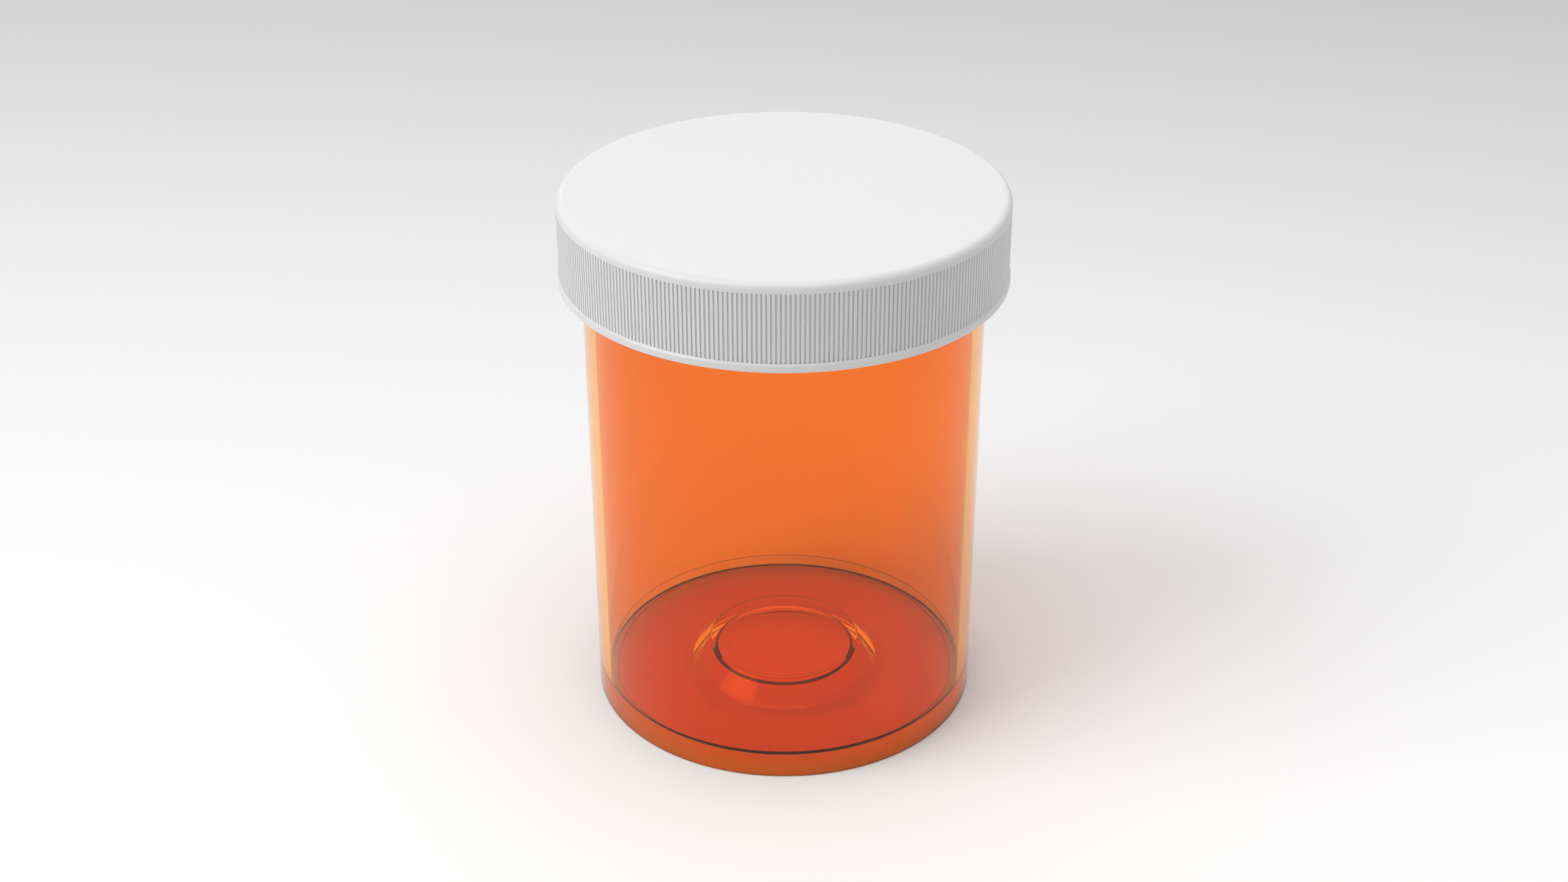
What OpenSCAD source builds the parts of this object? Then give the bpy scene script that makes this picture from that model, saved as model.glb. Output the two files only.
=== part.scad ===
// Prescription vial with a two-piece push-and-turn closure.
// Millimetres, +Z up. The origin is on the vial's axis, in the plane that the vial stands on.
// The closure is built outwards and upwards from the neck: every radius and height of the liner,
// the inner cap and the outer shell is the piece before it plus a named thickness or clearance.

/* [Vial body] */
// Outside diameter of the body
body_d = 50; // [42:1:60]
// Height of the rim above the surface that the vial stands on
rim_h = 64.7; // [50:0.1:90]
// Thickness of the body's wall
wall = 1.4; // [1.2:0.1:1.8]
// Thickness of the floor
floor_t = 1.9; // [1.5:0.1:2.6]
// Rounding of the outside edge that the vial stands on
foot_r = 0.25; // [0.1:0.05:0.6]
// Rounding between the floor and the wall, inside
floor_r = 0.8; // [0.3:0.1:1.4]

/* [Raised centre of the floor] */
// Diameter of the flat top of the raised centre
punt_top_d = 19.8; // [14:0.2:22]
// Diameter of its foot, where its slope meets the floor
punt_foot_d = 25.4; // [24:0.2:32]
// Height of the flat top above the floor
punt_h = 3.05; // [2:0.05:4]
// Thickness of the plastic over the hollow under it
punt_t = 1.6; // [1.2:0.1:1.8]
// Rounding between its slope and the floor
punt_r = 1.3; // [0.4:0.1:2]
// Rounding of the edge of its flat top
punt_edge_r = 0.4; // [0.1:0.1:0.8]

/* [Neck and thread] */
// Length of the neck, from its shoulder up to the rim
neck_len = 5.5; // [5.2:0.1:8]
// How far the neck is set in from the body
neck_step = 0.4; // [0.2:0.05:0.5]
// Rounding of the rim's two edges
rim_r = 0.3; // [0.1:0.05:0.4]
// Rise of the thread in one turn
thread_lead = 3.175; // [2.8:0.005:3.4]
// Height of the thread above the wall that it stands on
thread_h = 0.85; // [0.6:0.05:1]
// Width of the thread at the wall
thread_root_w = 1.5; // [1.2:0.05:1.5]
// Width of the thread at its crest
thread_crest_w = 0.6; // [0.4:0.05:0.7]
// Turns of thread on the neck
neck_turns = 0.95; // [0.5:0.05:1]
// Turns of thread in the inner cap
cap_turns = 0.8; // [0.4:0.05:0.8]

/* [Liner] */
// Thickness of the foam disc that seals the rim
liner_t = 0.9; // [0.6:0.1:1.5]
// Gap around the disc
liner_gap = 0.3; // [0.2:0.05:0.5]

/* [Inner cap] */
// Gap between the crest of the neck's thread and the inner cap's bore
thread_gap = 0.25; // [0.2:0.05:0.4]
// Thickness of the inner cap's skirt
skirt_t = 0.8; // [0.7:0.05:1.2]
// Thickness of the inner cap's plate
plate_t = 1; // [0.8:0.1:1.5]
// Height of the skirt's lower edge above the neck's shoulder
skirt_gap = 0.55; // [0.4:0.05:0.8]
// Rounding of the plate's outside edge
plate_r = 0.6; // [0.2:0.1:0.7]

/* [Ratchet] */
// Teeth around the top of the inner cap
tooth_count = 24; // [16:4:28]
// Height of a tooth
tooth_h = 0.8; // [0.6:0.05:1.2]
// Width of a tooth or a lug, along the circle
tooth_w = 2.3; // [1.6:0.1:2.4]
// Length of a tooth, towards the axis
tooth_len = 4; // [3:0.5:6]
// How far the teeth stand in from the edge of the plate
tooth_inset = 2; // [1.5:0.5:4]
// Gap between the tips of the teeth and of the lugs when nothing presses the shell
tip_gap = 0.2; // [0.15:0.05:0.4]
// Gap left under a lug when the shell is pressed down
end_gap = 0.1; // [0.08:0.01:0.15]

/* [Outer shell] */
// Gap between the inner cap's skirt and the shell
shell_gap = 0.2; // [0.15:0.05:0.4]
// Thickness of the shell's skirt
shell_t = 1; // [0.9:0.05:1.4]
// Thickness of the shell's flat top
shell_top_t = 1.1; // [0.9:0.1:1.6]
// Rounding between the flat top and the skirt
shell_r = 1; // [0.5:0.1:1.4]
// Height of the bead that keeps the inner cap in the shell
bead_h = 0.95; // [0.9:0.05:1.2]
// How far the bead reaches under the inner cap's skirt
bead_catch = 0.35; // [0.2:0.05:0.5]
// Gap between the bead and the skirt above it
bead_gap = 0.1; // [0.05:0.01:0.2]
// Height of the plain band around the shell's lower edge
band_h = 0.84; // [0.5:0.02:0.9]
// How far the band stands out from the ribs
band_step = 0.185; // [0.1:0.005:0.4]
// Height of the slope above the band
band_slope_h = 0.25; // [0.1:0.05:0.4]

/* [Grip] */
// Grooves around the shell
groove_count = 320; // [240:40:320]
// Width of a groove
groove_w = 0.18; // [0.12:0.01:0.24]
// Depth of a groove
groove_depth = 0.2; // [0.1:0.05:0.3]

/* [Hidden] */
$fn = 128;

// Overlap that makes two shapes one solid, and the reach of a cut past a surface
merge = 0.2;
// Small rounding of moulded edges that nothing else sets
edge_r = 0.2;
// Straight steps in one turn of thread
steps_per_turn = 48;
// Depth of a thread's root in the wall that carries it
thread_sink = 0.3;
// Part of a turn over which a thread rises from the wall to its full height
thread_run = 0.08;
// Height of a thread's first turn above the edge that it starts from
thread_start = 0.5;
// Height of the steep foot of a tooth's sloping side, as a share of the tooth
tooth_foot = 0.4;
// Distance from a tooth's sloping side to its tip, as a share of the tooth's width
tooth_tip = 0.7;

// Radii, from the axis outwards
body_r = body_d / 2;
bore_r = body_r - wall;
neck_r = body_r - neck_step;
cap_bore_r = neck_r + thread_h + thread_gap;
liner_r = cap_bore_r - liner_gap;
skirt_r = cap_bore_r + skirt_t;
tooth_out_r = skirt_r - tooth_inset;
shell_bore_r = skirt_r + shell_gap;
bead_r = skirt_r - bead_catch;
grip_r = shell_bore_r + shell_t;
band_r = grip_r + band_step;

// Heights, from the surface that the vial stands on
punt_z = floor_t + punt_h;
shoulder_z = rim_h - neck_len;
skirt_z = shoulder_z + skirt_gap;
plate_z = rim_h + liner_t;
plate_top_z = plate_z + plate_t;
lug_h = tooth_h + end_gap;
roof_z = plate_top_z + tooth_h + tip_gap + lug_h;
shell_top_z = roof_z + shell_top_t;
bead_z = skirt_z - bead_gap;
shell_z = bead_z - bead_h;
band_z = shell_z + band_h;
grip_z = band_z + band_slope_h;
grip_top_z = shell_top_z - shell_r;

// Raised centre: its slope and the hollow under it are parallel cones
punt_top_r = punt_top_d / 2;
punt_foot_r = punt_foot_d / 2;
punt_slope = (punt_foot_r - punt_top_r) / punt_h;
punt_stretch = sqrt(1 + punt_slope * punt_slope);
hollow_z = punt_z - punt_t;
hollow_foot_r = punt_foot_r + floor_t * punt_slope - punt_t * punt_stretch;
hollow_top_r = hollow_foot_r - hollow_z * punt_slope;

// The neck's thread starts above the shoulder, and the cap's lies midway between its turns
neck_thread_z = shoulder_z + thread_start + thread_root_w / 2;
cap_thread_z = skirt_z + edge_r + thread_root_w / 2;
cap_thread_turn = (cap_thread_z - neck_thread_z) / thread_lead + 0.5;

// Corners of one section of a thread: root and crest, below and above height z
function thread_section(root_r, crest_r, angle, z) = [
    [root_r * cos(angle), root_r * sin(angle), z - thread_root_w / 2],
    [crest_r * cos(angle), crest_r * sin(angle), z - thread_crest_w / 2],
    [crest_r * cos(angle), crest_r * sin(angle), z + thread_crest_w / 2],
    [root_r * cos(angle), root_r * sin(angle), z + thread_root_w / 2]
];

// Share of its full height that a thread has at a turn: it rises from both ends
function thread_rise(turn, turns) = min(1, turn / thread_run, (turns - turn) / thread_run);

// Height of the crest over the wall, a little below the wall's surface at both ends
function crest_height(rise) = (thread_h + merge / 2) * rise - merge / 2;

// A right-handed thread on a wall of radius wall_r: side 1 stands outwards, side -1 inwards
module thread(wall_r, side, start_z, start_turn, turns) {
    steps = ceil(turns * steps_per_turn);
    root_r = wall_r - side * thread_sink;
    points = [for (i = [0:steps])
        let (turn = turns * i / steps)
        let (crest_r = wall_r + side * crest_height(thread_rise(turn, turns)))
        each thread_section(root_r, crest_r, 360 * (start_turn + turn), start_z + thread_lead * turn)];
    walls = [for (i = [0:steps - 1]) for (j = [0:3])
        [4 * i + j, 4 * i + 4 + j, 4 * i + 4 + (j + 1) % 4, 4 * i + (j + 1) % 4]];
    ends = [[0, 1, 2, 3], [4 * steps + 3, 4 * steps + 2, 4 * steps + 1, 4 * steps]];
    faces = concat(walls, ends);
    polyhedron(points, side < 0 ? faces : [for (f = faces) [f[3], f[2], f[1], f[0]]], convexity = 6);
}

// What a rounding of radius r takes off the lower right corner at the origin
module corner(r) {
    difference() {
        translate([-r, -merge]) square([r + merge, r + merge]);
        translate([-r, r]) circle(r);
    }
}

// Half section of a disc of radius r between two heights, with its two outer edges rounded
module disc_section(r, low_z, high_z, low_r, high_r) {
    difference() {
        translate([0, low_z]) square([r, high_z - low_z]);
        if (low_r > 0) translate([r, low_z]) corner(low_r);
        if (high_r > 0) translate([r, high_z]) mirror([0, 1]) corner(high_r);
    }
}

// Half section of the raised centre, down to the surface that the vial stands on
module punt_section() {
    foot_x = punt_foot_r + punt_r * (punt_stretch - punt_slope);
    edge_x = punt_top_r - punt_edge_r * (punt_stretch - punt_slope);
    difference() {
        polygon([[0, 0], [punt_foot_r + floor_t * punt_slope, 0], [punt_top_r, punt_z], [0, punt_z]]);
        difference() {
            slope_kite([edge_x, punt_z - punt_edge_r], [punt_top_r, punt_z], punt_edge_r, 1);
            translate([edge_x, punt_z - punt_edge_r]) circle(punt_edge_r);
        }
    }
    difference() {
        slope_kite([foot_x, floor_t + punt_r], [punt_foot_r, floor_t], punt_r, -1);
        translate([foot_x, floor_t + punt_r]) circle(punt_r);
    }
}

// Four-sided field between a rounding's centre, the corner that it rounds and its two touching points:
// side 1 for a rounding inside the slope, -1 for one outside it
module slope_kite(centre, corner_point, r, side) {
    touch = centre + side * r / punt_stretch * [1, punt_slope];
    polygon([centre, [centre[0], corner_point[1]], corner_point, touch]);
}

// Half section of the space inside the vial, open at the rim
module vial_space() {
    difference() {
        disc_section(bore_r, floor_t, rim_h + merge, floor_r, 0);
        punt_section();
    }
    difference() {
        translate([bore_r - merge, rim_h - rim_r]) square([merge + rim_r, rim_r + merge]);
        translate([bore_r + rim_r, rim_h - rim_r]) circle(rim_r);
    }
}

// Half section of the hollow under the raised centre
module hollow_section() {
    mouth_r = hollow_foot_r + merge * punt_slope;
    polygon([[0, -merge], [mouth_r, -merge], [hollow_top_r, hollow_z], [0, hollow_z]]);
}

// Vial: straight body, floor with a raised centre, and a threaded neck
module vial_body() {
    color([0.93, 0.42, 0.12]) {
        rotate_extrude() difference() {
            union() {
                disc_section(body_r, 0, shoulder_z, foot_r, neck_step);
                disc_section(neck_r, shoulder_z - neck_len, rim_h, 0, rim_r);
            }
            vial_space();
            hollow_section();
        }
        thread(neck_r, 1, neck_thread_z, 0, neck_turns);
    }
}

// Liner: the foam disc that the inner cap presses on the rim
module liner() {
    color([0.94, 0.93, 0.9]) rotate_extrude() disc_section(liner_r, rim_h, plate_z, 0, 0);
}

// Outline of a ratchet tooth of height h: upright on the right, sloping on the left
module tooth_outline(h) {
    polygon([
        [0, -merge], [tooth_w, -merge], [tooth_w, h], [tooth_w * tooth_tip, h], [0, h * tooth_foot]
    ]);
}

// A ring of ratchet teeth that stand up from the height z = 0
module tooth_ring(count, h) {
    for (i = [0:count - 1])
        rotate(360 * i / count)
            translate([-tooth_w / 2, tooth_len - tooth_out_r, 0])
                rotate([90, 0, 0]) linear_extrude(tooth_len) tooth_outline(h);
}

// Inner cap: the threaded cap that seals the vial, with a ring of teeth on its plate
module inner_cap() {
    color([0.97, 0.97, 0.95]) {
        rotate_extrude() difference() {
            disc_section(skirt_r, skirt_z, plate_top_z, edge_r, plate_r);
            disc_section(cap_bore_r, skirt_z - merge, plate_z, 0, edge_r);
        }
        thread(cap_bore_r, -1, cap_thread_z, cap_thread_turn, cap_turns);
        translate([0, 0, plate_top_z]) tooth_ring(tooth_count, tooth_h);
    }
}

// Half section of the space inside the shell, with the bead that narrows its mouth
module shell_space() {
    disc_section(shell_bore_r, bead_z, roof_z, 0, 2 * edge_r);
    polygon([
        [0, shell_z - merge], [bead_r + bead_catch + merge, shell_z - merge], [bead_r, shell_z + bead_catch],
        [bead_r, bead_z + merge], [0, bead_z + merge]
    ]);
}

// Outline of the shell's skirt, with its upright grooves
module grip_outline() {
    difference() {
        circle(grip_r);
        for (i = [0:groove_count - 1])
            rotate(360 * i / groove_count)
                translate([grip_r - groove_depth, -groove_w / 2]) square([groove_depth + merge, groove_w]);
    }
}

// Outer shell: the grooved cap that turns over the inner cap until it is pressed down
module outer_shell() {
    color([0.96, 0.96, 0.95]) {
        difference() {
            union() {
                rotate_extrude() disc_section(band_r, shell_z, band_z, edge_r, 0);
                rotate_extrude() polygon([[0, band_z], [band_r, band_z], [grip_r, grip_z], [0, grip_z]]);
                translate([0, 0, grip_z]) linear_extrude(grip_top_z - grip_z) grip_outline();
                rotate_extrude() disc_section(grip_r, grip_top_z, shell_top_z, 0, shell_r);
            }
            rotate_extrude() shell_space();
        }
        translate([0, 0, roof_z]) rotate(180 / tooth_count) rotate([0, 180, 0])
            tooth_ring(tooth_count / 2, lug_h);
    }
}

vial_body();
liner();
inner_cap();
outer_shell();
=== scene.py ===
"""Prescription vial with a push-and-turn closure, laid out as a Blender add-on.

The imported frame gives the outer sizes, and the property groups hold the details. Each piece is turned
on the vial's axis from a section with rounded corners, in metres, standing on the plane z = 0.
"""

import math

import bmesh
import bpy
from bpy.props import FloatProperty, FloatVectorProperty, IntProperty, PointerProperty
from mathutils import Matrix, Vector


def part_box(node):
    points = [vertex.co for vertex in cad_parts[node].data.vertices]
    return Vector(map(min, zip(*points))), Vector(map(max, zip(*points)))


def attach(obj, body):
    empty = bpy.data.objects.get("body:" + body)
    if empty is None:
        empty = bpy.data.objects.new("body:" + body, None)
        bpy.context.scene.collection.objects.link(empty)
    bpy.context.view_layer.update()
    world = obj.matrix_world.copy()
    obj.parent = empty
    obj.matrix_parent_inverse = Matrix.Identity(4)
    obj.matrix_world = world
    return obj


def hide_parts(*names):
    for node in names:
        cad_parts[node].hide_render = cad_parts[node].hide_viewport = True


bl_info = {
    "name": "Prescription Vial",
    "version": (1, 0, 0),
    "blender": (4, 5, 0),
    "location": "View3D > Sidebar > Vial",
    "description": "Models an amber prescription vial and its push-and-turn closure",
    "category": "Add Mesh",
}

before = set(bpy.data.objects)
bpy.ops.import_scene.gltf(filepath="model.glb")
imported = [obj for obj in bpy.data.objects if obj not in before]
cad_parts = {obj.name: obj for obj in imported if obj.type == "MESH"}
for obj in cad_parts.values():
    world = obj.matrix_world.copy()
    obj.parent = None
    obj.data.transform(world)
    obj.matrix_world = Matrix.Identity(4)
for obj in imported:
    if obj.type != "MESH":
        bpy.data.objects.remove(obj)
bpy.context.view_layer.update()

# Straight steps around a turned piece
ROUND_STEPS = 256
# How often the first sector of a turned piece is doubled
DOUBLINGS = 5
# Distance from a rounding to the loop that keeps the face beside it flat
HOLD = 0.00008
# The same distance in the shell's wide flat top and roof
WIDE_HOLD = 0.0025
# Columns of faces in one groove and the land beside it
GROOVE_COLUMNS = 4
# Angle between faces above which an edge stays sharp
SHARP = math.radians(32)
# Distance under which two points are one
WELD = 1e-7


def reach(node, low, high):
    """Largest distance from the axis to a CAD node between two heights."""
    points = [vertex.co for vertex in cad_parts[node].data.vertices]
    return max(math.hypot(p.x, p.y) for p in points if low <= p.z <= high)


VIAL_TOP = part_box("vial_body")[1].z
LINER_LOW, LINER_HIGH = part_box("liner")
SHELL_LOW, SHELL_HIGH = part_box("outer_shell")
CAP_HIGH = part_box("inner_cap")[1]
# Where the light stands that comes through the closure
GLOW_PLACE = Vector((0, 0, LINER_LOW.z - 0.001))


# Sizes and colours that a user would change

def length(name, description, default):
    """A size in metres."""
    return FloatProperty(name=name, description=description, default=default, unit="LENGTH",
                         precision=5)


def number(name, description, default):
    """A plain number."""
    return FloatProperty(name=name, description=description, default=default, precision=4)


def colour(name, description, default):
    """A linear colour."""
    return FloatVectorProperty(name=name, description=description, default=default, subtype="COLOR",
                               size=3, min=0, max=1)


class VialSizes(bpy.types.PropertyGroup):
    """Sizes of the vial."""
    body_radius: length("Body radius", "Outside radius of the body",
                        reach("vial_body", 0, VIAL_TOP / 2))
    neck_radius: length("Neck radius", "Outside radius of the neck",
                        reach("vial_body", VIAL_TOP - 0.0004, VIAL_TOP))
    rim_height: length("Rim height", "Height of the rim", VIAL_TOP)
    wall: length("Wall", "Thickness of the body's wall", 0.0014)
    floor: length("Floor", "Thickness of the floor", 0.0019)
    foot_rounding: length("Foot rounding", "Rounding of the edge that the vial stands on", 0.00025)
    corner_rounding: length("Corner rounding", "Rounding between floor and wall", 0.0011)
    shoulder_rounding: length("Shoulder rounding", "Rounding of the shoulder under the neck", 0.00025)
    rim_rounding: length("Rim rounding", "Rounding of the rim's edges", 0.0003)
    neck_length: length("Neck length", "Length of the neck under the rim", 0.0055)
    punt_top: length("Raised centre", "Radius of the flat top of the floor's raised centre", 0.0099)
    punt_foot: length("Raised centre's foot", "Radius of its foot", 0.0127)
    punt_height: length("Raised centre's height", "Height of its top over the floor", 0.00305)
    punt_wall: length("Raised centre's wall", "Thickness over the hollow under it", 0.0016)
    hollow_edge: length("Hollow's edge", "Rounding at the top of the hollow below", 0.0005)
    hollow_rounding: length("Hollow's mouth", "Rounding of the mouth of the hollow below", 0.00035)
    punt_rounding: length("Raised centre's rounding", "Rounding at its foot", 0.0013)
    punt_edge: length("Raised centre's edge", "Rounding of its top edge", 0.0004)
    thread_lead: length("Thread lead", "Rise of the thread in one turn", 0.003175)
    thread_height: length("Thread height", "Height of the thread over the neck", 0.00085)
    thread_root: length("Thread root", "Width of the thread at the neck", 0.0015)
    thread_crest: length("Thread crest", "Width of the thread at its crest", 0.0006)
    thread_start: length("Thread start", "Height of the thread's edge over the shoulder", 0.0005)
    thread_turns: number("Thread turns", "Turns of thread on the neck", 0.95)


class ShellSizes(bpy.types.PropertyGroup):
    """Sizes of the outer shell."""
    grip_radius: length("Grip radius", "Outside radius of the grooved skirt",
                        reach("outer_shell", (SHELL_LOW.z + SHELL_HIGH.z) / 2, SHELL_HIGH.z))
    band_radius: length("Band radius", "Outside radius of the plain band", SHELL_HIGH.x)
    band_height: length("Band height", "Height of the plain band", 0.00084)
    band_slope: length("Band slope", "Height of the slope over the band", 0.00025)
    skirt: length("Skirt", "Thickness of the skirt", 0.001)
    top: length("Top", "Thickness of the flat top", 0.0011)
    top_rounding: length("Top rounding", "Rounding between top and skirt", 0.001)
    bead_height: length("Bead height", "Height of the bead that keeps the inner cap in", 0.00095)
    bead_depth: length("Bead depth", "How far the bead stands in from the skirt", 0.00055)
    bead_slope: length("Bead slope", "Height of the slope under the bead", 0.00035)
    groove_count: IntProperty(name="Grooves", description="Grooves around the skirt", default=320, min=8)
    groove_width: length("Groove width", "Width of a groove at the surface", 0.00023)
    groove_floor: length("Groove floor", "Width of a groove at its floor", 0.00014)
    groove_depth: length("Groove depth", "Depth of a groove", 0.0002)
    groove_end: length("Groove end", "Height over which a groove ends at the top", 0.0001)
    lug_count: IntProperty(name="Lugs", description="Drive lugs under the roof", default=12, min=3)
    lug_height: length("Lug height", "Height of a lug", 0.0009)
    lug_width: length("Lug width", "Width of a lug along the circle", 0.0023)
    lug_length: length("Lug length", "Length of a lug towards the axis", 0.004)
    lug_inset: length("Lug inset", "From the inner cap's side to the outer ends of the lugs", 0.002)
    lug_bevel: length("Lug bevel", "Rounding of the edges of a lug", 0.00008)


class LinerSizes(bpy.types.PropertyGroup):
    """Sizes of the liner."""
    edge_rounding: length("Edge rounding", "Rounding of the cut edge", 0.00012)
    print_depth: length("Print depth", "Depth of the ring that the rim presses in", 0.00004)
    print_width: length("Print width", "Width of that ring beyond the rim, on each side", 0.00015)


class Finishes(bpy.types.PropertyGroup):
    """Colours of the plastics."""
    amber: colour("Amber", "What the vial's wall lets through", (1.0, 0.41, 0.045))
    # Near-black painted shade: painted on the vial's tight roundings where the view grazes them or meets
    # them from inside, and as thin painted rings where each rounding ends
    amber_painted_edge_shade: colour("Amber edge", "Tight roundings of the vial at a low angle", (0.003, 0.002, 0.002))
    white: colour("White", "The outer shell", (0.70, 0.70, 0.70))
    natural: colour("Natural", "The inner cap", (0.74, 0.74, 0.70))
    foam: colour("Foam", "The liner", (0.80, 0.79, 0.75))
    floor: colour("Floor", "The floor around the vial", (0.93, 0.93, 0.93))
    # Painted shade: the floor's colour far behind the vial, darker to stand in for the light falling off
    far_floor_painted_shade: colour("Far floor", "The floor far behind the vial", (0.58, 0.58, 0.58))


class StageSettings(bpy.types.PropertyGroup):
    """Camera and studio."""
    lens: number("Lens", "Focal length in millimetres", 50.0)
    distance: length("Distance", "From the camera to the point that it looks at", 0.2809)
    pitch: FloatProperty(name="Pitch", description="How far the camera looks down", subtype="ANGLE",
                         default=math.radians(28.82))
    look_height: length("Look height", "Height of the point that the camera looks at", 0.03474)
    floor_size: length("Floor size", "Side of the floor", 8.0)
    key_power: number("Key light", "Power of the key light in watts", 6.25)
    key_size: length("Key size", "Side of the key light", 0.72)
    overhead_power: number("Overhead light", "Power of the overhead light in watts", 0.62)
    overhead_size: length("Overhead size", "Side of the overhead light", 0.3)
    glow_power: number("Glow", "Power of the light that the closure lets into the vial", 0.0018)
    glow_size: length("Glow size", "Diameter of that light", 0.04)
    glow_spread: FloatProperty(name="Glow spread", description="Angle that the glow fills",
                               subtype="ANGLE", default=math.radians(80))
    back: number("Light from behind", "Strength of the room's light behind the vial", 1.06)
    front: number("Light from the front", "Strength of the room's light on the camera's side", 0.12)
    floor_gap: length("Gap", "Distance from the floor to the plane that the vial stands on", 0.00005)


# Materials

def new_group(name, inputs, outputs):
    """A shader node group with float or colour sockets: inputs and outputs are (name, type, value)."""
    group = bpy.data.node_groups.new(name, "ShaderNodeTree")
    for sockets, direction in ((inputs, "INPUT"), (outputs, "OUTPUT")):
        for socket_name, kind, value in sockets:
            socket = group.interface.new_socket(socket_name, in_out=direction, socket_type=kind)
            if value is not None:
                socket.default_value = value
    return group, group.nodes.new("NodeGroupInput"), group.nodes.new("NodeGroupOutput")


def join(nodes, links, operation, first, second):
    """A math node of one socket and another socket or a number; returns its output."""
    node = nodes.new("ShaderNodeMath")
    node.operation = operation
    links.new(first, node.inputs[0])
    if isinstance(second, float):
        node.inputs[1].default_value = second
    else:
        links.new(second, node.inputs[1])
    return node.outputs["Value"]


def moulded_surface_group():
    """Colour, roughness and height of a moulded plastic, with fine grain and slow waves."""
    group, given, made = new_group(
        "Moulded Surface",
        [("Colour", "NodeSocketColor", (0.8, 0.8, 0.8, 1)),
         ("Shade", "NodeSocketColor", (0.7, 0.7, 0.7, 1)),
         ("Grain Scale", "NodeSocketFloat", 4000.0), ("Wave Scale", "NodeSocketFloat", 60.0),
         ("Roughness", "NodeSocketFloat", 0.4), ("Roughness Change", "NodeSocketFloat", 0.1),
         ("Grain", "NodeSocketFloat", 0.5)],
        [("Colour", "NodeSocketColor", None), ("Roughness", "NodeSocketFloat", None),
         ("Height", "NodeSocketFloat", None)])
    nodes, links = group.nodes, group.links
    position = nodes.new("ShaderNodeTexCoord")
    grain = nodes.new("ShaderNodeTexNoise")
    grain.inputs["Detail"].default_value = 3
    waves = nodes.new("ShaderNodeTexNoise")
    waves.inputs["Detail"].default_value = 2
    links.new(position.outputs["Object"], grain.inputs["Vector"])
    links.new(position.outputs["Object"], waves.inputs["Vector"])
    links.new(given.outputs["Grain Scale"], grain.inputs["Scale"])
    links.new(given.outputs["Wave Scale"], waves.inputs["Scale"])
    mix = nodes.new("ShaderNodeMix")
    mix.data_type = "RGBA"
    links.new(waves.outputs["Fac"], mix.inputs["Factor"])
    links.new(given.outputs["Colour"], mix.inputs["A"])
    links.new(given.outputs["Shade"], mix.inputs["B"])
    links.new(mix.outputs["Result"], made.inputs["Colour"])
    centred = nodes.new("ShaderNodeMath")
    centred.operation = "SUBTRACT"
    centred.inputs[1].default_value = 0.5
    links.new(waves.outputs["Fac"], centred.inputs[0])
    rough = nodes.new("ShaderNodeMath")
    rough.operation = "MULTIPLY_ADD"
    links.new(centred.outputs["Value"], rough.inputs[0])
    links.new(given.outputs["Roughness Change"], rough.inputs[1])
    links.new(given.outputs["Roughness"], rough.inputs[2])
    links.new(rough.outputs["Value"], made.inputs["Roughness"])
    height = nodes.new("ShaderNodeMath")
    height.operation = "MULTIPLY_ADD"
    links.new(grain.outputs["Fac"], height.inputs[0])
    links.new(given.outputs["Grain"], height.inputs[1])
    links.new(waves.outputs["Fac"], height.inputs[2])
    links.new(height.outputs["Value"], made.inputs["Height"])
    return group


def plastic(name, group, values, bump, fixed):
    """A Principled material fed by the moulded surface group; fixed holds the shader's plain values."""
    material = bpy.data.materials.new(name)
    material.use_nodes = True
    nodes, links = material.node_tree.nodes, material.node_tree.links
    shader = nodes["Principled BSDF"]
    surface = nodes.new("ShaderNodeGroup")
    surface.node_tree = group
    for socket, value in values.items():
        surface.inputs[socket].default_value = value
    for socket, value in fixed.items():
        shader.inputs[socket].default_value = value
    relief = nodes.new("ShaderNodeBump")
    relief.inputs["Distance"].default_value = bump
    links.new(surface.outputs["Colour"], shader.inputs["Base Color"])
    links.new(surface.outputs["Roughness"], shader.inputs["Roughness"])
    links.new(surface.outputs["Height"], relief.inputs["Height"])
    links.new(relief.outputs["Normal"], shader.inputs["Normal"])
    return material


def shaded(rgb, share):
    """A colour and a slightly darker one, with alpha."""
    return tuple(rgb) + (1.0,), tuple(c * share for c in rgb) + (1.0,)


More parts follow.
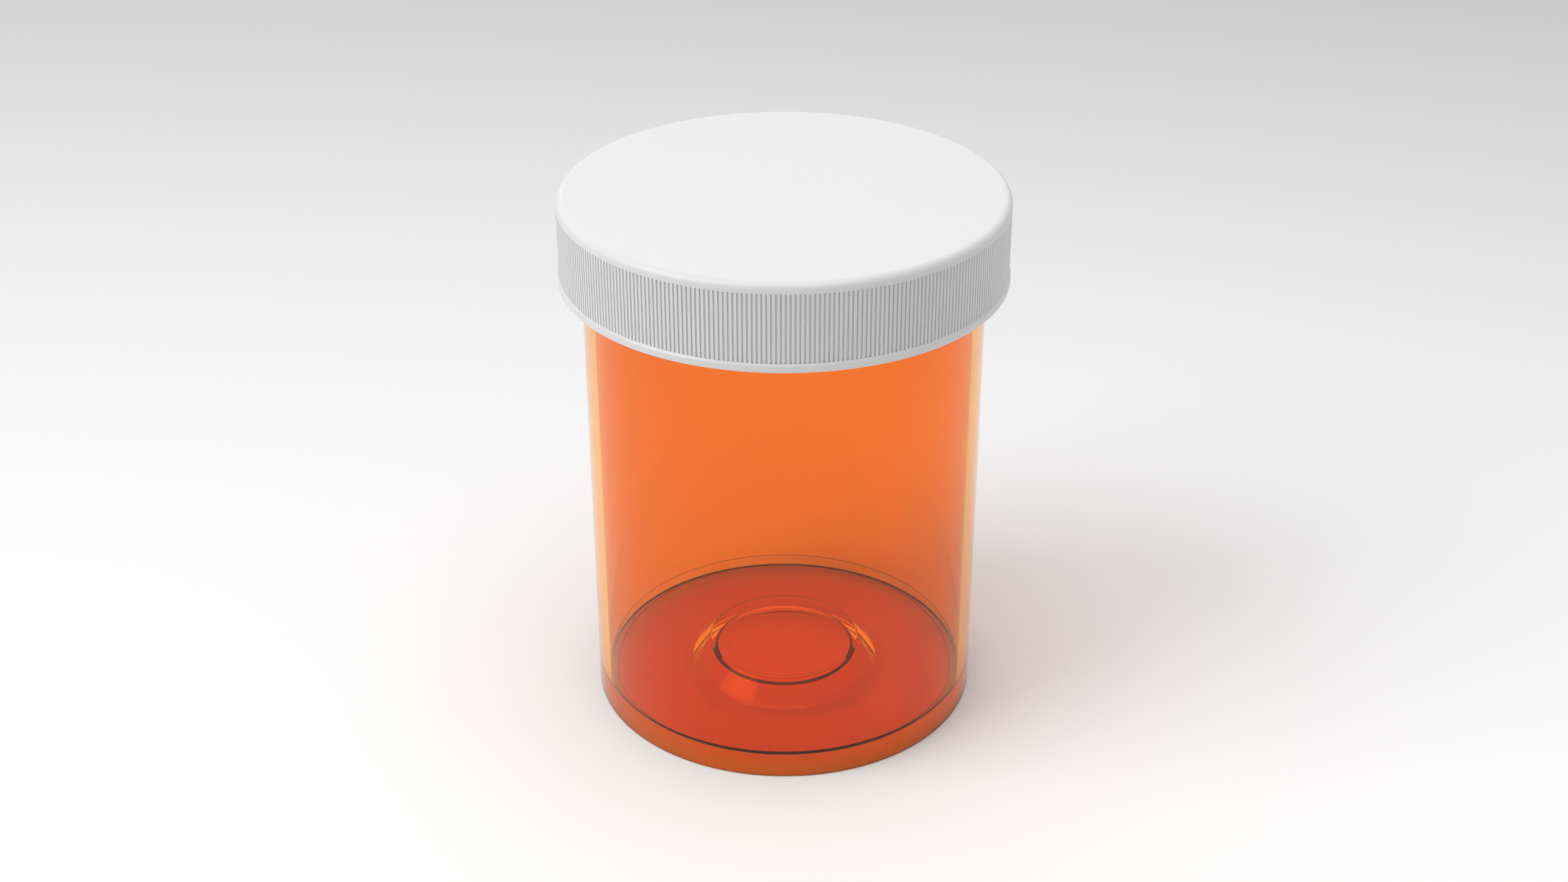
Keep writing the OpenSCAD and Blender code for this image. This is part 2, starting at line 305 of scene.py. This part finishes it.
def amber_plastic(rgb, painted_edge_shade_rgb, group):
    """Clear amber plastic of the vial, with painted shade: tight roundings seen at a grazing angle or
    from inside, and thin rings where roundings end, get a near-black colour.
    """
    full, deep = shaded(rgb, 0.985)
    material = plastic("Clear amber plastic", group,
                       {"Colour": full, "Shade": deep, "Grain Scale": 2500.0, "Wave Scale": 45.0,
                        "Roughness": 0.02, "Roughness Change": 0.02, "Grain": 0.02}, 0.000002,
                       {"Transmission Weight": 1.0, "IOR": 1.12, "Coat Weight": 0.6,
                        "Coat Roughness": 0.03})
    nodes, links = material.node_tree.nodes, material.node_tree.links
    base = nodes["Principled BSDF"].inputs["Base Color"]
    surface_colour = base.links[0].from_socket
    # The attributes say where the painted shade goes: on tight roundings seen at a grazing angle or from
    # inside, and as thin painted rings where the roundings end
    rounding, painted_shade_outline = nodes.new("ShaderNodeAttribute"), nodes.new("ShaderNodeAttribute")
    rounding.attribute_name, painted_shade_outline.attribute_name = "rounding", "painted_shade_outline"
    facing, side = nodes.new("ShaderNodeLayerWeight"), nodes.new("ShaderNodeNewGeometry")
    grazing = nodes.new("ShaderNodeMapRange")
    grazing.inputs["From Min"].default_value = 0.4
    grazing.inputs["From Max"].default_value = 0.7
    links.new(facing.outputs["Facing"], grazing.inputs["Value"])
    trapped = join(nodes, links, "MAXIMUM", grazing.outputs["Result"], side.outputs["Backfacing"])
    painted_rounding_shade = join(nodes, links, "MULTIPLY", rounding.outputs["Fac"], trapped)
    painted_outline_shade = join(nodes, links, "MULTIPLY", painted_shade_outline.outputs["Fac"], 0.8)
    share = join(nodes, links, "MAXIMUM", painted_rounding_shade, painted_outline_shade)
    # Mixes the near-black painted shade into the plastic's colour
    mix = nodes.new("ShaderNodeMix")
    mix.data_type = "RGBA"
    mix.inputs["B"].default_value = tuple(painted_edge_shade_rgb) + (1.0,)
    links.new(share, mix.inputs["Factor"])
    links.new(surface_colour, mix.inputs["A"])
    links.new(mix.outputs["Result"], base)
    return material


def white_plastic(rgb, group):
    """Satin white plastic of the outer shell."""
    full, deep = shaded(rgb, 0.99)
    return plastic("White satin plastic", group,
                   {"Colour": full, "Shade": deep, "Grain Scale": 6000.0, "Wave Scale": 70.0,
                    "Roughness": 0.33, "Roughness Change": 0.05, "Grain": 0.6}, 0.00001,
                   {"IOR": 1.49})


def natural_plastic(rgb, group):
    """Cloudy natural plastic of the inner cap."""
    full, deep = shaded(rgb, 0.96)
    return plastic("Natural plastic", group,
                   {"Colour": full, "Shade": deep, "Grain Scale": 3000.0, "Wave Scale": 90.0,
                    "Roughness": 0.35, "Roughness Change": 0.1, "Grain": 0.4}, 0.00001,
                   {"IOR": 1.49})


def liner_foam(rgb, group):
    """Closed-cell foam of the liner."""
    full, deep = shaded(rgb, 0.93)
    return plastic("Liner foam", group,
                   {"Colour": full, "Shade": deep, "Grain Scale": 1800.0, "Wave Scale": 400.0,
                    "Roughness": 0.75, "Roughness Change": 0.15, "Grain": 1.0}, 0.00004,
                   {"IOR": 1.45})


# Shaping

def corners_of(geometry):
    """The vertices among the items that a bmesh operator returned."""
    return [item for item in geometry if isinstance(item, bmesh.types.BMVert)]


def rotate(bm, verts, angle):
    """Turns vertices around the vial's axis."""
    bmesh.ops.rotate(bm, verts=verts, cent=(0, 0, 0), matrix=Matrix.Rotation(angle, 3, "Z"))


def draw_section(bm, corners, segments):
    """Draws a chain of edges through corners (radius, height, rounding) and rounds them.

    Returns each rounded corner with the distance from it to the ends of its rounding.
    """
    points = [Vector((radius, 0, height)) for radius, height, _ in corners]
    chain, rounded, roundings = [], [], []
    for i, (point, corner) in enumerate(zip(points, corners)):
        if corner[2] == 0:
            chain.append(bm.verts.new(point))
            continue
        back, ahead = (points[i - 1] - point).normalized(), (points[i + 1] - point).normalized()
        touch = corner[2] / math.tan(back.angle(ahead) / 2)
        chain.append(bm.verts.new(point + back * (touch + HOLD)))
        chain.append(bm.verts.new(point))
        rounded.append((chain[-1], touch))
        roundings.append((corner, touch))
        chain.append(bm.verts.new(point + ahead * (touch + HOLD)))
    for first, second in zip(chain, chain[1:]):
        bm.edges.new((first, second))
    for corner, touch in rounded:
        bmesh.ops.bevel(bm, geom=[corner], offset=touch, offset_type="OFFSET", segments=segments,
                        profile=0.5, affect="VERTICES", material=-1)
    return roundings


def turn_section(bm, steps):
    """Turns the section once around the vial's axis: a sector first, then copies that double it."""
    angle = 2 * math.pi / 2 ** DOUBLINGS
    bmesh.ops.spin(bm, geom=bm.verts[:] + bm.edges[:], cent=(0, 0, 0), axis=(0, 0, 1), dvec=(0, 0, 0),
                   angle=angle, steps=steps // 2 ** DOUBLINGS)
    for _ in range(DOUBLINGS):
        copy = bmesh.ops.duplicate(bm, geom=bm.verts[:] + bm.edges[:] + bm.faces[:])["geom"]
        rotate(bm, corners_of(copy), angle)
        angle *= 2
    bmesh.ops.remove_doubles(bm, verts=bm.verts[:], dist=WELD)


def turned(corners, segments=8, steps=ROUND_STEPS):
    """A bmesh turned from a section, and the section's roundings."""
    bm = bmesh.new()
    roundings = draw_section(bm, corners, segments)
    turn_section(bm, steps)
    return bm, roundings


def new_object(name, bm):
    """A smooth object from a bmesh, with sharp edges only where faces meet at a wide angle."""
    bmesh.ops.recalc_face_normals(bm, faces=bm.faces[:])
    mesh = bpy.data.meshes.new(name)
    bm.to_mesh(mesh)
    bm.free()
    smooth(mesh)
    obj = bpy.data.objects.new(name, mesh)
    bpy.context.scene.collection.objects.link(obj)
    return obj


def smooth(mesh):
    """Shades a mesh smooth, apart from its sharp edges."""
    mesh.polygons.foreach_set("use_smooth", [True] * len(mesh.polygons))
    mesh.set_sharp_from_angle(angle=SHARP)


def place(piece, material, body, slot, *nodes):
    """Gives a piece its material and its body, and hides the CAD nodes that it stands for; slot is not
    used.
    """
    piece.data.materials.clear()
    piece.data.materials.append(material)
    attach(piece, body)
    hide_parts(*nodes)


def unite(piece, other):
    """Joins another solid to a piece and removes it."""
    cut = piece.modifiers.new("Unite", "BOOLEAN")
    cut.operation = "UNION"
    cut.solver = "MANIFOLD"
    cut.object = other
    depsgraph = bpy.context.evaluated_depsgraph_get()
    mesh = bpy.data.meshes.new_from_object(piece.evaluated_get(depsgraph))
    piece.modifiers.remove(cut)
    old, other_mesh = piece.data, other.data
    if len(mesh.vertices) <= len(old.vertices):
        raise RuntimeError(f"{other.name} did not join {piece.name}")
    piece.data = mesh
    name = old.name
    bpy.data.meshes.remove(old)
    mesh.name = name
    bpy.data.objects.remove(other)
    bpy.data.meshes.remove(other_mesh)
    smooth(mesh)


def scale_radially(bm, verts, share):
    """Moves points towards the axis, to a share of their distance."""
    bmesh.ops.scale(bm, vec=(share, share, 1), verts=verts)


def mark_roundings(mesh, roundings, soft):
    """Stores where the tight roundings are and where every rounding ends, for the amber material's
    painted shade.

    A soft rounding gets no painted shade of its own, only a faint painted ring where it ends.
    """
    inside = mesh.attributes.new("rounding", "FLOAT", "POINT")
    painted_shade_outline = mesh.attributes.new("painted_shade_outline", "FLOAT", "POINT")
    for vertex, within, edge in zip(mesh.vertices, inside.data, painted_shade_outline.data):
        for (radius, height, rounding), reach_out in roundings:
            distance = math.hypot(vertex.co.xy.length - radius, vertex.co.z - height)
            if distance < reach_out + WELD * 10:
                within.value = rounding not in soft
                if distance > reach_out - WELD * 10:
                    edge.value = 0.2 if rounding in soft else 1


def neck_thread(sizes):
    """The right-handed thread on the neck, which rises from the wall at both ends."""
    steps_per_turn, sink, run = 96, 0.0003, 0.08
    crest = sizes.neck_radius + sizes.thread_height
    root = sizes.neck_radius - sink
    middle = sizes.rim_height - sizes.neck_length + sizes.thread_start + sizes.thread_root / 2
    bm = bmesh.new()
    ring = [bm.verts.new((root, 0, middle - sizes.thread_root / 2)),
            bm.verts.new((crest, 0, middle - sizes.thread_crest / 2)),
            bm.verts.new((crest, 0, middle + sizes.thread_crest / 2)),
            bm.verts.new((root, 0, middle + sizes.thread_root / 2))]
    end = bm.faces.new(ring)
    steps = math.ceil(sizes.thread_turns * steps_per_turn)
    rings = [ring]
    for step in range(steps):
        made = bmesh.ops.extrude_face_region(bm, geom=[end])["geom"]
        if step > 0:
            bmesh.ops.delete(bm, geom=[end], context="FACES_ONLY")
        ring = corners_of(made)
        end = next(item for item in made if isinstance(item, bmesh.types.BMFace))
        rotate(bm, ring, 2 * math.pi * sizes.thread_turns / steps)
        bmesh.ops.translate(bm, verts=ring, vec=(0, 0, sizes.thread_lead * sizes.thread_turns / steps))
        rings.append(ring)
    for step, ring in enumerate(rings):
        turn = sizes.thread_turns * step / steps
        rise = min(1, turn / run, (sizes.thread_turns - turn) / run)
        radius = sizes.neck_radius - sink / 3 + (sizes.thread_height + sink / 3) * rise
        crests = [v for v in ring if math.hypot(v.co.x, v.co.y) > sizes.neck_radius]
        scale_radially(bm, crests, radius / crest)
    return new_object("thread", bm)


class VIAL_OT_body(bpy.types.Operator):
    """Models the amber vial with its threaded neck and the raised centre of its floor"""
    bl_idname = "vial.body"
    bl_label = "Vial Body"

    def execute(self, context):
        sizes = context.scene.vial_sizes
        slope = (sizes.punt_foot - sizes.punt_top) / sizes.punt_height
        hollow = sizes.floor + sizes.punt_height - sizes.punt_wall
        hollow_foot = sizes.punt_foot + sizes.floor * slope - sizes.punt_wall * math.hypot(1, slope)
        shoulder = sizes.rim_height - sizes.neck_length
        bore = sizes.body_radius - sizes.wall
        bm, roundings = turned([
            (0, hollow, 0),
            (hollow_foot - hollow * slope, hollow, sizes.hollow_edge),
            (hollow_foot, 0, sizes.hollow_rounding),
            (sizes.body_radius, 0, sizes.foot_rounding),
            (sizes.body_radius, shoulder, sizes.shoulder_rounding),
            (sizes.neck_radius, shoulder, 0),
            (sizes.neck_radius, sizes.rim_height, sizes.rim_rounding),
            (bore, sizes.rim_height, sizes.rim_rounding),
            (bore, sizes.floor, sizes.corner_rounding),
            (sizes.punt_foot, sizes.floor, sizes.punt_rounding),
            (sizes.punt_top, sizes.floor + sizes.punt_height, sizes.punt_edge),
            (0, sizes.floor + sizes.punt_height, 0),
        ])
        vial = new_object("vial", bm)
        unite(vial, neck_thread(sizes))
        group = bpy.data.node_groups["Moulded Surface"]
        mark_roundings(vial.data, roundings, (sizes.punt_rounding, sizes.hollow_rounding))
        finishes = context.scene.vial_finishes
        place(vial, amber_plastic(finishes.amber, finishes.amber_painted_edge_shade, group), "vial", "amber_plastic",
              "vial_body")
        return {"FINISHED"}


class VIAL_OT_liner(bpy.types.Operator):
    """Models the foam liner, with the ring that the rim has pressed in it"""
    bl_idname = "vial.liner"
    bl_label = "Liner"

    def execute(self, context):
        sizes, vial = context.scene.liner_sizes, context.scene.vial_sizes
        low, high = LINER_LOW.z, LINER_HIGH.z
        inner = vial.body_radius - vial.wall - sizes.print_width
        outer = vial.neck_radius + sizes.print_width
        pressed = low + sizes.print_depth
        bm, _ = turned([
            (0, low, 0), (inner - sizes.print_depth, low, 0), (inner, pressed, 0), (outer, pressed, 0),
            (outer + sizes.print_depth, low, 0), (LINER_HIGH.x, low, sizes.edge_rounding),
            (LINER_HIGH.x, high, sizes.edge_rounding), (0, high, 0)
        ], segments=4)
        liner = new_object("foam_liner", bm)
        group = bpy.data.node_groups["Moulded Surface"]
        place(liner, liner_foam(context.scene.vial_finishes.foam, group), "liner", "liner_foam", "liner")
        return {"FINISHED"}


class VIAL_OT_inner_cap(bpy.types.Operator):
    """Gives the threaded inner cap its natural plastic"""
    bl_idname = "vial.inner_cap"
    bl_label = "Inner Cap"

    def execute(self, context):
        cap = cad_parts["inner_cap"]
        group = bpy.data.node_groups["Moulded Surface"]
        cap.material_slots[0].material = natural_plastic(context.scene.vial_finishes.natural, group)
        return {"FINISHED"}


def cut_grooves(bm, sizes, low, high):
    """Sets the columns of the skirt to the grooves' width and sinks the grooves between two heights."""
    step = 2 * math.pi / (sizes.groove_count * GROOVE_COLUMNS)
    wide, narrow = sizes.groove_width / 2 / sizes.grip_radius, sizes.groove_floor / 2 / sizes.grip_radius
    targets = [-wide, -narrow, narrow, wide]
    columns = [[] for _ in targets]
    for vertex in bm.verts:
        index = round(math.atan2(vertex.co.y, vertex.co.x) / step)
        columns[index % GROOVE_COLUMNS].append(vertex)
    middle = (GROOVE_COLUMNS - 1) / 2
    for index, (target, column) in enumerate(zip(targets, columns)):
        rotate(bm, column, target - (index - middle) * step)
    sunk = [vertex for vertex in columns[1] + columns[2]
            if low < vertex.co.z < high and vertex.co.xy.length > sizes.grip_radius - WELD * 10]
    scale_radially(bm, sunk, 1 - sizes.groove_depth / sizes.grip_radius)


def add_lugs(bm, sizes, roof):
    """Adds the drive lugs under the shell's roof, upright on one side and sloping on the other."""
    height, width, sink = sizes.lug_height, sizes.lug_width, 0.0002
    outer = CAP_HIGH.x - sizes.lug_inset
    flat_share, low_share = 0.3, 0.4
    profile = [(0, sink), (0, -height), (width * flat_share, -height), (width, -height * low_share),
               (width, sink)]
    part = bmesh.new()
    face = part.faces.new([part.verts.new((x - width / 2, -outer, roof + z)) for x, z in profile])
    made = bmesh.ops.extrude_face_region(part, geom=[face])["geom"]
    bmesh.ops.translate(part, verts=corners_of(made), vec=(0, sizes.lug_length, 0))
    bmesh.ops.bevel(part, geom=part.edges[:], offset=sizes.lug_bevel, offset_type="OFFSET",
                    segments=2, profile=0.5, affect="EDGES", material=-1)
    lug = part.verts[:] + part.edges[:] + part.faces[:]
    for index in range(1, sizes.lug_count):
        copy = bmesh.ops.duplicate(part, geom=lug)["geom"]
        rotate(part, corners_of(copy), 2 * math.pi * index / sizes.lug_count)
    between_teeth = math.pi / (2 * sizes.lug_count)
    rotate(part, part.verts[:], between_teeth)
    mesh = bpy.data.meshes.new("lugs")
    part.to_mesh(mesh)
    part.free()
    bm.from_mesh(mesh)
    bpy.data.meshes.remove(mesh)


class VIAL_OT_shell(bpy.types.Operator):
    """Models the white outer shell with its grooves, band, bead and drive lugs"""
    bl_idname = "vial.shell"
    bl_label = "Outer Shell"

    def execute(self, context):
        sizes = context.scene.shell_sizes
        low, high = SHELL_LOW.z, SHELL_HIGH.z
        band_top = low + sizes.band_height
        grip_low, grip_high = band_top + sizes.band_slope, high - sizes.top_rounding
        bore = sizes.grip_radius - sizes.skirt
        bead, bead_top = bore - sizes.bead_depth, low + sizes.bead_height
        roof = high - sizes.top
        step = sizes.groove_end
        bm, _ = turned([
            (sizes.grip_radius - WIDE_HOLD, high, 0),
            (sizes.grip_radius, high, sizes.top_rounding),
            (sizes.grip_radius, grip_high - 2 * step, 0),
            (sizes.grip_radius, grip_high - 3 * step, 0),
            (sizes.grip_radius, grip_low + 0.3 * step, 0),
            (sizes.grip_radius, grip_low, 0),
            (sizes.band_radius, band_top, 0),
            (sizes.band_radius, low, 0.0002),
            (bead + sizes.bead_slope, low, 0.00008),
            (bead, low + sizes.bead_slope, 0),
            (bead, bead_top, 0.0001),
            (bore, bead_top, 0),
            (bore, roof, 0.0004),
            (bore - WIDE_HOLD, roof, 0),
        ], segments=7, steps=sizes.groove_count * GROOVE_COLUMNS)
        cut_grooves(bm, sizes, grip_low + 0.1 * step, grip_high - 2.5 * step)
        bmesh.ops.holes_fill(bm, edges=bm.edges[:], sides=0)
        bmesh.ops.recalc_face_normals(bm, faces=bm.faces[:])
        add_lugs(bm, sizes, roof)
        shell = new_object("shell", bm)
        group = bpy.data.node_groups["Moulded Surface"]
        place(shell, white_plastic(context.scene.vial_finishes.white, group), "shell", "white_plastic",
              "outer_shell")
        return {"FINISHED"}


def aim(obj, target):
    """Turns a camera or light to look at a point."""
    obj.rotation_euler = (target - obj.location).to_track_quat("-Z", "Y").to_euler()


def area_light(name, place, target, size, power):
    """A soft square white light."""
    light = bpy.data.lights.new(name, "AREA")
    light.size = size
    light.energy = power
    obj = bpy.data.objects.new(name, light)
    obj.location = place
    bpy.context.scene.collection.objects.link(obj)
    aim(obj, target)
    return obj


def studio_light(back, front):
    """A world that is brighter behind the vial than on the camera's side."""
    world = bpy.data.worlds.new("Studio")
    world.use_nodes = True
    nodes, links = world.node_tree.nodes, world.node_tree.links
    direction = nodes.new("ShaderNodeTexCoord")
    split = nodes.new("ShaderNodeSeparateXYZ")
    strength = nodes.new("ShaderNodeMapRange")
    strength.inputs["From Min"].default_value = -1
    strength.inputs["To Min"].default_value = front
    strength.inputs["To Max"].default_value = back
    links.new(direction.outputs["Generated"], split.inputs["Vector"])
    links.new(split.outputs["Y"], strength.inputs["Value"])
    background = nodes["Background"]
    background.inputs["Color"].default_value = (1, 1, 1, 1)
    links.new(strength.outputs["Result"], background.inputs["Strength"])
    return world


def floor_material(near, far):
    """A matt floor painted darker behind the vial: painted shade that stands in for the light falling
    off towards the back.
    """
    material = bpy.data.materials.new("Pale floor")
    material.use_nodes = True
    nodes, links = material.node_tree.nodes, material.node_tree.links
    shader = nodes["Principled BSDF"]
    shader.inputs["Roughness"].default_value = 0.9
    shader.inputs["Specular IOR Level"].default_value = 0.1
    position = nodes.new("ShaderNodeTexCoord")
    split = nodes.new("ShaderNodeSeparateXYZ")
    # Painted shade: the colour goes towards the far colour with distance behind the vial
    share = nodes.new("ShaderNodeMapRange")
    share.inputs["From Min"].default_value = -0.03
    share.inputs["From Max"].default_value = 0.45
    mix = nodes.new("ShaderNodeMix")
    mix.data_type = "RGBA"
    mix.inputs["A"].default_value = tuple(near) + (1.0,)
    mix.inputs["B"].default_value = tuple(far) + (1.0,)
    links.new(position.outputs["Object"], split.inputs["Vector"])
    links.new(split.outputs["Y"], share.inputs["Value"])
    links.new(share.outputs["Result"], mix.inputs["Factor"])
    links.new(mix.outputs["Result"], shader.inputs["Base Color"])
    return material


class VIAL_OT_stage(bpy.types.Operator):
    """Sets up the pale floor, the soft light and the camera"""
    bl_idname = "vial.stage"
    bl_label = "Stage"

    def execute(self, context):
        scene, stage = context.scene, context.scene.vial_stage
        bm = bmesh.new()
        bmesh.ops.create_grid(bm, x_segments=1, y_segments=1, size=stage.floor_size / 2)
        bmesh.ops.translate(bm, verts=bm.verts[:], vec=(0, 0, -stage.floor_gap))
        floor = new_object("floor", bm)
        finishes = scene.vial_finishes
        floor.data.materials.append(floor_material(finishes.floor, finishes.far_floor_painted_shade))
        target = Vector((0, 0, stage.look_height))
        key = Vector((-0.386, -0.156, 0.433)) * 2
        area_light("key", key, target, stage.key_size, stage.key_power)
        overhead = Vector((0, -0.1, 0.45))
        area_light("overhead", overhead, overhead - Vector((0, 0, 1)), stage.overhead_size,
                   stage.overhead_power)
        glow = area_light("closure_glow", GLOW_PLACE, Vector((0, 0, 0)), stage.glow_size,
                          stage.glow_power)
        glow.data.shape = "DISK"
        glow.data.spread = stage.glow_spread
        scene.world = studio_light(stage.back, stage.front)
        camera = bpy.data.objects.new("camera", bpy.data.cameras.new("camera"))
        camera.data.lens = stage.lens
        camera.data.sensor_width = 36
        camera.data.clip_start = 0.01
        back_and_up = Vector((0, -math.cos(stage.pitch), math.sin(stage.pitch)))
        camera.location = target + stage.distance * back_and_up
        scene.collection.objects.link(camera)
        aim(camera, target)
        scene.camera = camera
        scene.view_settings.view_transform = "Standard"
        return {"FINISHED"}


class VIAL_PT_panel(bpy.types.Panel):
    """Shows a button for each of the vial's steps"""
    bl_idname = "VIAL_PT_panel"
    bl_label = "Prescription Vial"
    bl_space_type = "VIEW_3D"
    bl_region_type = "UI"
    bl_category = "Vial"

    def draw(self, context):
        for operator in OPERATORS:
            self.layout.operator(operator.bl_idname)


PROPERTIES = {"vial_sizes": VialSizes, "shell_sizes": ShellSizes, "liner_sizes": LinerSizes,
              "vial_finishes": Finishes, "vial_stage": StageSettings}
OPERATORS = (VIAL_OT_stage, VIAL_OT_body, VIAL_OT_liner, VIAL_OT_inner_cap, VIAL_OT_shell)


def register():
    """Registers the property groups, the operators and the panel."""
    for name, kind in PROPERTIES.items():
        bpy.utils.register_class(kind)
        setattr(bpy.types.Scene, name, PointerProperty(type=kind))
    for kind in OPERATORS + (VIAL_PT_panel,):
        bpy.utils.register_class(kind)


def unregister():
    """Removes what register added."""
    for kind in reversed(OPERATORS + (VIAL_PT_panel,)):
        bpy.utils.unregister_class(kind)
    for name, kind in PROPERTIES.items():
        delattr(bpy.types.Scene, name)
        bpy.utils.unregister_class(kind)


def main():
    """Builds the vial and its stage."""
    register()
    moulded_surface_group()
    bpy.ops.vial.stage()
    bpy.ops.vial.body()
    bpy.ops.vial.liner()
    bpy.ops.vial.inner_cap()
    bpy.ops.vial.shell()


if __name__ == "__main__":
    main()
